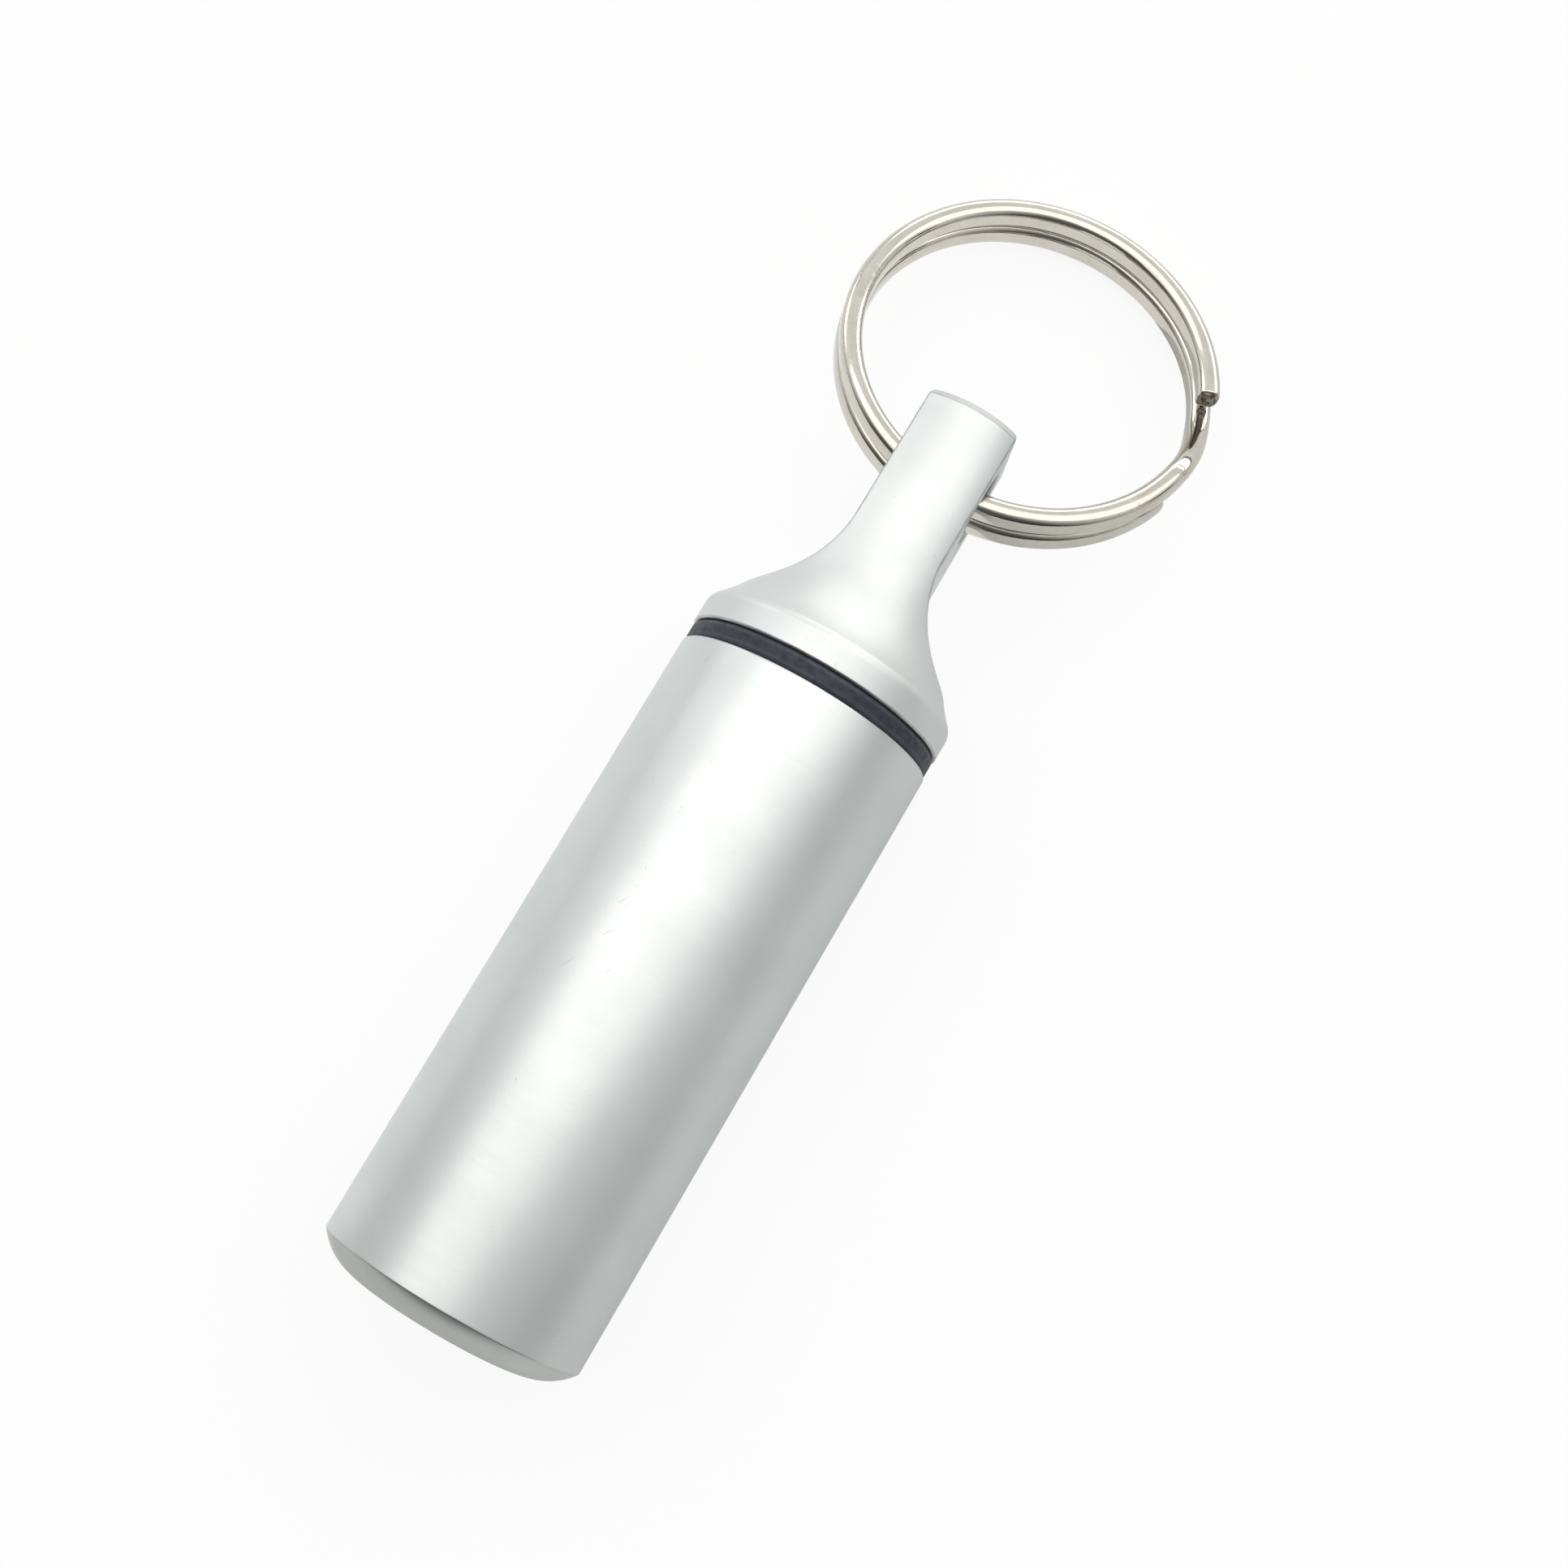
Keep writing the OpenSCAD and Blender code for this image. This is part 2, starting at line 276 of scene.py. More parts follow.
def ridge_tree(material):
    """Screw thread ridge round Z: a trapezoid swept along a helix that runs out at both ends."""
    tree, given, output = new_tree(
        "thread_ridge",
        "GeometryNodeTree",
        {
            "Root Radius": 6.0,
            "Height": 0.5,
            "Root Width": 0.8,
            "Crest Width": 0.2,
            "Pitch": 1.0,
            "Turns": 4.0,
            "Start": 34.0,
            "Phase": 0.0,
            "Run Out": run_out,
        },
        {"Geometry": "NodeSocketGeometry"},
    )
    line = tree.nodes.new("GeometryNodeCurvePrimitiveLine")
    points = maths(tree, "MULTIPLY", given["Turns"], float(turn_points))
    path = put(tree, "GeometryNodeResampleCurve", Curve=line.outputs[0], Count=points)
    share = tree.nodes.new("GeometryNodeSplineParameter").outputs["Factor"]
    turned = maths(tree, "MULTIPLY", share, given["Turns"])
    angle = maths(tree, "MULTIPLY_ADD", turned, 2 * math.pi, given["Phase"])
    spot = put(
        tree,
        "ShaderNodeCombineXYZ",
        X=maths(tree, "MULTIPLY", given["Root Radius"], maths(tree, "COSINE", angle)),
        Y=maths(tree, "MULTIPLY", given["Root Radius"], maths(tree, "SINE", angle)),
        Z=maths(tree, "MULTIPLY_ADD", turned, given["Pitch"], given["Start"]),
    )
    upright = upright_path(tree, path.outputs[0], spot.outputs[0])
    left = maths(tree, "SUBTRACT", given["Turns"], turned)
    nearest = maths(tree, "DIVIDE", maths(tree, "MINIMUM", turned, left), given["Run Out"])
    scale = maths(tree, "MAXIMUM", maths(tree, "MINIMUM", nearest, 1.0), smallest_scale)
    half_root = maths(tree, "MULTIPLY", given["Root Width"], 0.5)
    half_crest = maths(tree, "MULTIPLY", given["Crest Width"], 0.5)
    section = tree.nodes.new("GeometryNodeCurvePrimitiveQuadrilateral")
    section.mode = "POINTS"
    corners = ((0.0, half_root, -1.0), (given["Height"], half_crest, -1.0))
    corners += ((given["Height"], half_crest, 1.0), (0.0, half_root, 1.0))
    for k, (depth, half, side) in enumerate(corners):
        corner = put(tree, "ShaderNodeCombineXYZ", X=depth, Y=maths(tree, "MULTIPLY", half, side))
        tree.links.new(corner.outputs[0], section.inputs[f"Point {k + 1}"])
    swept_output(tree, upright, section.outputs[0], scale, material, output["Geometry"])
    return tree


def thread_shell(tree, material, start, turns, root, crest, half_turns):
    """Ridge as a shell along X in mm; crest above root stands outwards, below root inwards.

    The half turns set it off against the other thread, whose grooves it lies in.
    """
    outwards = 1 if crest > root else -1
    base = root - outwards * buried
    widths = [ridge_w + (pitch_r - r) * outwards * flank_slope for r in (base, crest)]
    values = {
        "Root Radius": base,
        "Height": crest - base,
        "Root Width": widths[0],
        "Crest Width": widths[1],
        "Pitch": thread_pitch,
        "Turns": turns,
        "Start": start,
        "Phase": 2 * math.pi * start / thread_pitch + half_turns * math.pi,
        "Run Out": run_out,
    }
    ridge = grown_mesh(tree, values, material)
    laid = [(v.co.z, v.co.y, -v.co.x) for v in ridge.vertices]
    below_crest = [abs(math.hypot(v.co.x, v.co.y) - crest) for v in ridge.vertices]
    wear = [crest_wear if depth < near_crest else 0.0 for depth in below_crest]
    faces = [tuple(p.vertices) for p in ridge.polygons]
    bpy.data.meshes.remove(ridge)
    return laid, faces, wear


def noise(tree, vector, scale, detail=2.0, roughness=0.5):
    """Output of a Noise texture read at a vector."""
    node = put(tree, "ShaderNodeTexNoise", Vector=vector, Scale=scale, Detail=detail)
    node.inputs["Roughness"].default_value = roughness
    return node.outputs["Fac"]


def stretched(tree, vector, scale):
    """A vector scaled unevenly, so that a pattern read from it is drawn out."""
    return put(tree, "ShaderNodeMapping", Vector=vector, Scale=scale).outputs[0]


def level(tree, value, low, high, to_low=0.0, to_high=1.0):
    """A value mapped from one range to another and held inside it."""
    node = put(tree, "ShaderNodeMapRange", Value=value)
    limits = {"From Min": low, "From Max": high, "To Min": to_low, "To Max": to_high}
    for name, number in limits.items():
        node.inputs[name].default_value = number
    return node.outputs[0]


def blended(tree, factor, first, second, kind="MIX"):
    """Colour between two colours or sockets."""
    node = tree.nodes.new("ShaderNodeMix")
    node.data_type = "RGBA"
    node.blend_type = kind
    for index, value in ((0, factor), (6, first), (7, second)):
        if isinstance(value, bpy.types.NodeSocket):
            tree.links.new(value, node.inputs[index])
        else:
            node.inputs[index].default_value = value
    return node.outputs[2]


# Fine texture that bead blasting leaves, over faint rings from the lathe about the X axis
blasted, given, out = new_tree(
    "blasted_grain",
    "ShaderNodeTree",
    {"Grain Scale": 9000.0, "Cloud Scale": 220.0, "Ring Scale": 5200.0},
    {"Grain": "NodeSocketFloat", "Cloud": "NodeSocketFloat", "Rings": "NodeSocketFloat"},
)
spot = blasted.nodes.new("ShaderNodeTexCoord").outputs["Object"]
grain = noise(blasted, spot, given["Grain Scale"], 3.0, 0.6)
cloud = noise(blasted, spot, given["Cloud Scale"], 4.0, 0.55)
along_axis = stretched(blasted, spot, (1.0, 0.012, 0.012))
rings = noise(blasted, along_axis, given["Ring Scale"], 2.0, 0.7)
for socket_name, value in (("Grain", grain), ("Cloud", cloud), ("Rings", rings)):
    blasted.links.new(value, out[socket_name])

# Rubbed edges: the mesh marks its edges, and a noise breaks the mark up
rubbed, given, out = new_tree(
    "rubbed_edges",
    "ShaderNodeTree",
    {"Breakup Scale": 900.0, "Amount": 1.0},
    {"Mask": "NodeSocketFloat"},
)
marked = rubbed.nodes.new("ShaderNodeAttribute")
marked.attribute_name = "edge_wear"
spot = rubbed.nodes.new("ShaderNodeTexCoord").outputs["Object"]
breakup = noise(rubbed, spot, given["Breakup Scale"], 4.0, 0.65)
broken = level(rubbed, breakup, 0.34, 0.58, 0.35, 1.0)
mask = maths(rubbed, "MULTIPLY", marked.outputs["Fac"], broken)
rubbed.links.new(maths(rubbed, "MULTIPLY", mask, given["Amount"]), out["Mask"])

# Handling marks: short straight dashes, the peaks of noises drawn out along three directions
scratched, given, out = new_tree(
    "handling_marks",
    "ShaderNodeTree",
    {"Scale": 6500.0, "Threshold": 0.74, "Patch Scale": 160.0},
    {"Mask": "NodeSocketFloat"},
)
spot = scratched.nodes.new("ShaderNodeTexCoord").outputs["Object"]
dashes = None
for turn in ((0.0, 0.3, 0.5), (0.6, -0.4, -0.9), (0.2, 0.9, 2.0)):
    turned_spot = put(scratched, "ShaderNodeMapping", Vector=spot, Rotation=turn).outputs[0]
    drawn_out = stretched(scratched, turned_spot, (0.035, 1.0, 1.0))
    peaks = noise(scratched, drawn_out, given["Scale"], 0.0)
    dash = maths(scratched, "SUBTRACT", peaks, given["Threshold"])
    dashes = dash if dashes is None else maths(scratched, "MAXIMUM", dashes, dash)
patches = noise(scratched, spot, given["Patch Scale"], 2.0, 0.5)
patchy = level(scratched, patches, 0.48, 0.60)
dashes = level(scratched, dashes, 0.0, 0.03)
scratched.links.new(maths(scratched, "MULTIPLY", dashes, patchy), out["Mask"])


def group_node(tree, group, **values):
    """Places a shader node group in a material with its own values; returns its outputs."""
    node = tree.nodes.new("ShaderNodeGroup")
    node.node_tree = group
    for name, value in values.items():
        node.inputs[name.replace("_", " ")].default_value = value
    return node.outputs


def plain_material(name):
    """A material with only a Principled shader; returns it with its tree and shader."""
    material = bpy.data.materials.new(name)
    material.use_nodes = True
    tree = material.node_tree
    return material, tree, tree.nodes["Principled BSDF"]


def bumped(tree, shader, height, strength, depth):
    """Feeds a height to the shader's normal, as a bump of the given depth in metres."""
    bump = put(tree, "ShaderNodeBump", Height=height, Strength=strength, Distance=depth)
    tree.links.new(bump.outputs[0], shader.inputs["Normal"])


bare_edge = (0.36, 0.365, 0.38, 1.0)
mark_tone = (0.30, 0.31, 0.31, 1.0)
mark_share = 0.30
mark_depth = 0.6
rough_spread = 0.02
edge_polish = 0.12


def satin_aluminium(name, light, dark, roughness, ring_depth, edge_amount):
    """Blasted and clear anodised aluminium, its edges rubbed greyer, with a few hairlines."""
    material, tree, shader = plain_material(name)
    surface = group_node(tree, blasted)
    rubbed_mask = group_node(tree, rubbed, Amount=edge_amount)["Mask"]
    mark_mask = group_node(tree, scratched, Threshold=0.84)["Mask"]
    colour = blended(tree, level(tree, surface["Cloud"], 0.3, 0.7), dark, light)
    colour = blended(tree, rubbed_mask, colour, bare_edge)
    colour = blended(tree, maths(tree, "MULTIPLY", mark_mask, mark_share), colour, mark_tone)
    tree.links.new(colour, shader.inputs["Base Color"])
    duller, shinier = roughness + rough_spread, roughness - rough_spread
    varied = level(tree, surface["Cloud"], 0.25, 0.75, duller, shinier)
    ringed = level(tree, surface["Rings"], 0.3, 0.7, -ring_depth, ring_depth)
    worn = maths(tree, "ADD", varied, ringed)
    worn = maths(tree, "MULTIPLY_ADD", rubbed_mask, -edge_polish, worn)
    tree.links.new(worn, shader.inputs["Roughness"])
    shader.inputs["Metallic"].default_value = 1.0
    height = maths(tree, "MULTIPLY_ADD", surface["Rings"], ring_depth * 8, surface["Grain"])
    height = maths(tree, "MULTIPLY_ADD", mark_mask, -mark_depth, height)
    bumped(tree, shader, height, strength=0.12, depth=0.00002)
    return material


body_metal = satin_aluminium(
    "body_metal",
    light=(0.640, 0.668, 0.660, 1.0),
    dark=(0.600, 0.628, 0.622, 1.0),
    roughness=0.37,
    ring_depth=0.02,
    edge_amount=0.35,
)
body_ridge = ridge_tree(body_metal)
crease_angle = 180 - math.degrees(math.acos((edge_r - edge_h) / edge_r))
edge_points = 17
# The rows without a fillet split the broad faces, so that their shading stays even
body_outline = rounded_outline(
    [(0, 0, 0), (0, 2.6, 0), (0, 4.6, 0)]
    + arc((edge_r, body_r - edge_in), edge_r, 180, crease_angle, edge_points)[:-1]
    + [
        (edge_h, body_r, crease_round),
        (3.0, body_r, 0),
        (20.0, body_r, 0),
        (body_l, body_r, mouth_round),
        (body_l, nut_root_r + lead_in, bore_round),
        (body_l - lead_in, nut_root_r, thread_corner),
        (nut_start_x + nut_root_r - cavity_r, nut_root_r, thread_corner),
        (nut_start_x, cavity_r, thread_corner),
        (floor_t, cavity_r, cavity_corner),
        (floor_t, 2.0, 0),
        (floor_t, 0, 0),
    ]
)
mouth_thread = thread_shell(
    body_ridge, body_metal, nut_start_x + thread_pitch, nut_turns, nut_root_r, nut_crest_r, 1
)
finished_piece(
    "container_body_shell",
    solid_mesh("container_body_shell", [lathe_shell(body_outline), mouth_thread]),
    body_metal,
    "container",
    "container_body",
)

# Sealing ring: moulded nitrile rubber, rolled over the cap's thread into the groove below its
# flange. Squeezed between the rim and the flange it fills their gap and shows as a flat band.

seal_gap = 1.2
face_gap = 0.01
seal_round = 0.3
seal_sink = 0.08
seal_in_r = 6.357
# Its outline starts and ends on the lower flank, clear of the rounded corners
seal_join_r = seal_in_r + 0.8
seal_low = body_l + face_gap
seal_high = body_l + seal_gap - face_gap
seal_out_r = body_r - seal_sink

seal_rubber, tree, shader = plain_material("seal_rubber")
spot = tree.nodes.new("ShaderNodeTexCoord").outputs["Object"]
mottle = noise(tree, spot, 2600.0, 4.0, 0.6)
fine = noise(tree, spot, 14000.0, 2.0, 0.6)
rubber_wear = group_node(tree, rubbed, Amount=0.35)["Mask"]
mottled = level(tree, mottle, 0.35, 0.65)
colour = blended(tree, mottled, (0.013, 0.017, 0.027, 1.0), (0.028, 0.034, 0.047, 1.0))
colour = blended(tree, rubber_wear, colour, (0.11, 0.12, 0.15, 1.0))
tree.links.new(colour, shader.inputs["Base Color"])
tree.links.new(level(tree, mottle, 0.3, 0.7, 0.62, 0.48), shader.inputs["Roughness"])
shader.inputs["Specular IOR Level"].default_value = 0.35
height = maths(tree, "MULTIPLY_ADD", fine, 0.4, mottle)
bumped(tree, shader, height, strength=0.35, depth=0.00003)

seal_outline = rounded_outline(
    [
        (seal_low, seal_join_r, 0),
        (seal_low, seal_in_r, seal_round),
        (seal_high, seal_in_r, seal_round),
        (seal_high, seal_out_r, seal_round),
        (seal_low, seal_out_r, seal_round),
        (seal_low, seal_join_r, 0),
    ],
    steps=8,
)[:-1]
finished_piece(
    "sealing_ring",
    solid_mesh("sealing_ring", [lathe_shell(seal_outline, closed=True)]),
    seal_rubber,
    "seal",
    "o_ring",
)

# Screw cap: aluminium, turned with a flange, a hollow flare and a slender end, then milled on two
# sides to a tongue and drilled across for the ring. The threaded spigot below the flange screws
# into the mouth. Blasted and anodised like the body.

flange_x = body_l + seal_gap
rim_l = 1.35
shoulder_r = 0.9
flare_r = 10.0
neck_r = 5.2
tip_r = 4.5
tip_bevel = 0.45
tongue_l = 10.5
tongue_half = 2.85
# The flats end in the run-in of the milling cutter
cutter_r = 7.0
flat_l = 9.0
hole_r = 2.4
hole_drop = 4.0
side_round = 0.26
top_round = 0.3
hole_break = 0.16
bevel_round = 0.12
flange_round = 0.12
# The spigot: a thread between its start and a relief that leads up to the flange
relief_r = 6.287
relief_round = 0.08
spigot_round = 0.06
thread_end_x = 39.1
thread_start_x = 34.1
cap_turns = 4.0
# The flare's circle lies between the taper of the tongue and the shoulder's small circle
taper = math.atan((neck_r - tip_r) / (tongue_l - tip_bevel))
shoulder_x = flange_x + rim_l
flare_mid_r = neck_r + flare_r * math.cos(taper)
shoulder_to_flare_r = flare_mid_r - body_r + shoulder_r
flare_x = shoulder_x + math.sqrt((flare_r + shoulder_r) ** 2 - shoulder_to_flare_r**2)
neck_x = flare_x - flare_r * math.sin(taper)
tip_x = neck_x + tongue_l
hole_x = tip_x - hole_drop
flat_x = tip_x - flat_l
cutter_start_x = flat_x - cutter_r + 0.01

cap_metal = satin_aluminium(
    "cap_metal",
    light=(0.655, 0.680, 0.672, 1.0),
    dark=(0.618, 0.644, 0.638, 1.0),
    roughness=0.47,
    ring_depth=0.012,
    edge_amount=0.80,
)


def flare_radius(x):
    """Radius of the hollow flare at station x."""
    return flare_mid_r - math.sqrt(flare_r**2 - (x - flare_x) ** 2)


def side_limit(x):
    """How far the cap reaches sideways at station x once milled, or None where it isn't milled."""
    if x < cutter_start_x:
        return None
    limit = tongue_half
    if x < flat_x:
        limit += cutter_r - math.sqrt(cutter_r**2 - (x - flat_x) ** 2)
    past = x - (tip_x - top_round)
    if past > 0:
        limit -= top_round - math.sqrt(max(0.0, top_round**2 - past**2))
    return limit


# Halving the interval finds cut_x, where the cutter first touches the flare
run_in_x, cut_x = cutter_start_x, flat_x
for _ in range(60):
    halfway = (run_in_x + cut_x) / 2
    if side_limit(halfway) > flare_radius(halfway):
        run_in_x = halfway
    else:
        cut_x = halfway

# Steps in a quarter of a section: on its turned arc, its rounded edge and its flat
arc_steps, round_steps, flat_steps = 44, 5, 9
quarter = arc_steps + round_steps + flat_steps
full_arc = math.radians(86)


def cap_quarter(x, r):
    """A quarter of the cap's section at station x: points (y, z, wear) from top to side."""
    limit = side_limit(x)
    if limit is None or limit > r * math.cos(math.pi / 2 - full_arc):
        turns = list(np.linspace(0, full_arc, arc_steps + 1))
        turns += list(np.linspace(full_arc, math.pi / 2, quarter - arc_steps + 1))[1:]
        return [(r * math.sin(t), r * math.cos(t), 0.0) for t in turns]
    centre_y = limit - side_round
    centre_z = math.sqrt((r - side_round) ** 2 - centre_y**2)
    corner = math.atan2(centre_y, centre_z)
    turns = np.linspace(0, corner, arc_steps + 1)
    points = [(r * math.sin(t), r * math.cos(t), 0.0) for t in turns]
    for t in np.linspace(corner, math.pi / 2, round_steps + 1)[1:]:
        y, z = centre_y + side_round * math.sin(t), centre_z + side_round * math.cos(t)
        points.append((y, z, 1.0))
    points += [(limit, z, 0.0) for z in np.linspace(centre_z, 0, flat_steps + 1)[1:]]
    return points


def full_row(x, points):
    """Mirrors a quarter of a section into the whole row of vertices at station x, with wear."""
    ring = [(y, z, w) for y, z, w in points[:-1]]
    ring += [(y, -z, w) for y, z, w in points[:0:-1]]
    ring += [(-y, -z, w) for y, z, w in ring[: 2 * quarter]]
    return [(x, y, z) for y, z, _ in ring], [w for _, _, w in ring]


shoulder_turn = math.degrees(math.atan2(shoulder_to_flare_r, flare_x - shoulder_x))
meet_x = shoulder_x + shoulder_r * math.cos(math.radians(shoulder_turn))
# Stations crowd together just past the cutter's first touch, where the flat widens fastest
past_cut, crowded, crowding = 0.012, 46, 1.5
flare_steps, tongue_steps, shoulder_points = 12, 42, 14
# The last station keeps clear of the bevel at the tip
tip_clear = 0.8
flare_stations = list(np.linspace(meet_x, cut_x, flare_steps)[:-1])
flare_stations += [
    cut_x + past_cut + (flat_x - cut_x - past_cut) * (k / crowded) ** crowding
    for k in range(crowded + 1)
]
tongue_stations = [x for x in flare_stations if x >= neck_x]
tongue_stations += list(np.linspace(flat_x, tip_x - tip_clear, tongue_steps)[1:])
spigot_x = thread_start_x - lead_in
cap_corners = [
    (spigot_x, 0, 0),
    (spigot_x, 2.6, 0),
    (spigot_x, core_r - lead_in, spigot_round),
    (thread_start_x, core_r, spigot_round),
    (thread_end_x, core_r, 0),
    (thread_end_x + relief_r - core_r, relief_r, 0),
    (flange_x, relief_r, relief_round),
    (flange_x, body_r, flange_round),
]
shoulder_centre = (shoulder_x, body_r - shoulder_r)
cap_corners += arc(shoulder_centre, shoulder_r, 90, shoulder_turn, shoulder_points)[:-1]
cap_corners += [(x, flare_radius(x), 0) for x in flare_stations if x < neck_x]
cap_corners += [(x, neck_r - (x - neck_x) * math.tan(taper), 0) for x in tongue_stations]
cap_corners += [
    (tip_x - tip_bevel, tip_r, bevel_round),
    (tip_x, tip_r - tip_bevel, bevel_round),
    (tip_x, 3.2, 0),
]
cap_outline = rounded_outline(cap_corners, steps=6, support=0.05)[:-1]
cap_vertices, cap_wear, cap_rows = [], [], []
for x, r, w in cap_outline:
    if r < on_axis:
        row, row_wear = [(x, 0.0, 0.0)], [0.0]
    else:
        row, row_wear = full_row(x, cap_quarter(x, r))
    cap_rows.append(list(range(len(cap_vertices), len(cap_vertices) + len(row))))
    cap_vertices += row
    cap_wear += [max(w, v) for v in row_wear]
# The top face: the last row drawn in towards the axis
top_row = [cap_vertices[i] for i in cap_rows[-1]]
for share in (0.97, 0.7, 0.4):
    cap_rows.append(list(range(len(cap_vertices), len(cap_vertices) + len(top_row))))
    cap_vertices += [(x, y * share, z * share) for x, y, z in top_row]
    cap_wear += [0.0] * len(top_row)
cap_rows.append([len(cap_vertices)])
cap_vertices.append((top_row[0][0], 0.0, 0.0))
cap_wear.append(0.0)
cap_faces = joined_rows(cap_rows)


def row_near(x):
    """Number of the cap's row that lies nearest to station x."""
    return int(np.argmin([abs(cap_vertices[row[0]][0] - x) for row in cap_rows]))


# The cross hole: on each flat a window of the rows is opened and closed again round a circle,
# and a tube with broken edges joins the two circles through the tongue.
window_margin = 0.45
window_half = hole_r + window_margin
first_row, last_row = row_near(hole_x - window_half), row_near(hole_x + window_half)
first_column = arc_steps + round_steps + 1
last_column = 2 * quarter - first_column
hole_loops = []
opened = set()
for side in (0, 1):
    low, high = first_column + side * 2 * quarter, last_column + side * 2 * quarter
    for i in range(first_row, last_row):
        for j in range(low, high):
            near, far = cap_rows[i], cap_rows[i + 1]
            opened.add((near[j], near[j + 1], far[j + 1], far[j]))
    window = [cap_rows[first_row][j] for j in range(low, high)]
    window += [cap_rows[i][high] for i in range(first_row, last_row)]
    window += [cap_rows[last_row][j] for j in range(high, low, -1)]
    window += [cap_rows[i][low] for i in range(last_row, first_row, -1)]
    hole_loops.append(window)
cap_faces = [face for face in cap_faces if face not in opened]
# The second window runs the other way round, so it is reversed to match the first
second = hole_loops[1][::-1]
hole_loops[1] = [
    min(second, key=lambda i: math.dist(cap_vertices[i][::2], cap_vertices[k][::2]))
    for k in hole_loops[0]
]
tube_rows = [hole_loops[0]]
broken_edge = [
    (tongue_half - hole_break * (1 - math.cos(t)), hole_r + hole_break * (1 - math.sin(t)))
    for t in np.linspace(0, math.pi / 2, 6)
]
for y, r in broken_edge + [(0.0, hole_r)] + [(-y, r) for y, r in broken_edge[::-1]]:
    tube_rows.append(list(range(len(cap_vertices), len(cap_vertices) + len(hole_loops[0]))))
    for i in hole_loops[0]:
        turn = math.atan2(cap_vertices[i][2], cap_vertices[i][0] - hole_x)
        cap_vertices.append((hole_x + r * math.cos(turn), y, r * math.sin(turn)))
        cap_wear.append(1.0 if hole_r < r else 0.0)
tube_rows.append(hole_loops[1])
cap_faces += joined_rows(tube_rows)

cap_thread = thread_shell(
    body_ridge, cap_metal, thread_start_x + thread_pitch / 2, cap_turns, core_r, crest_r, 0
)
finished_piece(
    "screw_cap_shell",
    solid_mesh("screw_cap_shell", [(cap_vertices, cap_faces, cap_wear), cap_thread]),
    cap_metal,
    "cap",
    "screw_cap",
)

# Split ring: hard spring wire of a rounded section, wound twice, with a step where it changes
# level and two sheared ends, then plated with bright nickel. It goes through the cross hole
# and leans down until its far side rests on the table.

wire_r = 11.125
wire_w = 1.35
wire_h = 1.58
wire_corner = 0.54
end_round = 0.13
turn_rise = 1.67
# Angles at which the wire starts, steps down to its second turn and ends
end_a, step_a, step_b, end_b = (math.radians(a) for a in (-69, 257, 287, 613))
wire_l = wire_r * (end_b - end_a)
# Where the wire's centre line passes through the hole, and its lean from there to the table
lean = math.radians(16.0236)
hang = Vector((hole_x - 0.4, -0.9, -0.2))

ring_steel, tree, shader = plain_material("ring_steel")
# Draw lines follow the wire: they read the place on its section, and hardly its length
line_stretch = 0.035
section = tree.nodes.new("ShaderNodeAttribute")
section.attribute_name = "wire_section"
along = tree.nodes.new("ShaderNodeAttribute")
along.attribute_name = "wire_along"
travelled = along.outputs["Fac"]
parts = put(tree, "ShaderNodeSeparateXYZ", Vector=section.outputs["Vector"]).outputs
drawn_spot = put(
    tree,
    "ShaderNodeCombineXYZ",
    X=parts["X"],
    Y=parts["Y"],
    Z=maths(tree, "MULTIPLY", travelled, line_stretch),
).outputs[0]
draw_lines = noise(tree, drawn_spot, 9.0, 3.0, 0.65)
spot = tree.nodes.new("ShaderNodeTexCoord").outputs["Object"]
stain = noise(tree, spot, 420.0, 4.0, 0.6)
mark_mask = group_node(tree, scratched, Scale=9000.0, Threshold=0.70)["Mask"]
# The two end faces are sheared: rough, and dark in their hollows
from_end = maths(tree, "MINIMUM", travelled, maths(tree, "SUBTRACT", wire_l, travelled))
sheared = level(tree, from_end, 0.02, 0.05, 1.0, 0.0)
rough_break = noise(tree, spot, 3800.0, 4.0, 0.7)
stained = level(tree, stain, 0.35, 0.7)
colour = blended(tree, stained, (0.640, 0.617, 0.560, 1.0), (0.570, 0.542, 0.476, 1.0))
marked_share = maths(tree, "MULTIPLY", mark_mask, 0.3)
colour = blended(tree, marked_share, colour, (0.42, 0.40, 0.37, 1.0))
hollows = level(tree, rough_break, 0.42, 0.58)
sheared_tone = blended(tree, hollows, (0.075, 0.055, 0.040, 1.0), (0.46, 0.43, 0.39, 1.0))
colour = blended(tree, sheared, colour, sheared_tone)
tree.links.new(colour, shader.inputs["Base Color"])
shader.inputs["Metallic"].default_value = 1.0
wire_rough = level(tree, draw_lines, 0.3, 0.7, 0.06, 0.13)
wire_rough = maths(tree, "MULTIPLY_ADD", mark_mask, 0.12, wire_rough)
wire_rough = maths(tree, "MULTIPLY_ADD", sheared, 0.35, wire_rough)
tree.links.new(wire_rough, shader.inputs["Roughness"])
height = maths(tree, "MULTIPLY_ADD", mark_mask, -0.3, maths(tree, "MULTIPLY", draw_lines, 0.5))
torn = maths(tree, "MULTIPLY", sheared, rough_break)
height = maths(tree, "MULTIPLY_ADD", torn, 2.0, height)
bumped(tree, shader, height, strength=0.15, depth=0.00003)

wire_tree, given, output = new_tree(
    "split_ring_wire",
    "GeometryNodeTree",
    {
        "Wire Radius": 11.0,
        "Start Angle": 0.0,
        "Step Start": 4.0,
        "Step End": 5.0,
        "End Angle": 10.0,
        "Rise": 1.6,
        "Width": 1.3,
        "Height": 1.5,
        "Corner": 0.5,
        "End Round": 0.1,
    },
    {"Geometry": "NodeSocketGeometry"},
)
path_points = 820
corner_points = 7
end_crowding = 0.92
line = wire_tree.nodes.new("GeometryNodeCurvePrimitiveLine")
path = put(wire_tree, "GeometryNodeResampleCurve", Curve=line.outputs[0], Count=path_points)
share = wire_tree.nodes.new("GeometryNodeSplineParameter").outputs["Factor"]
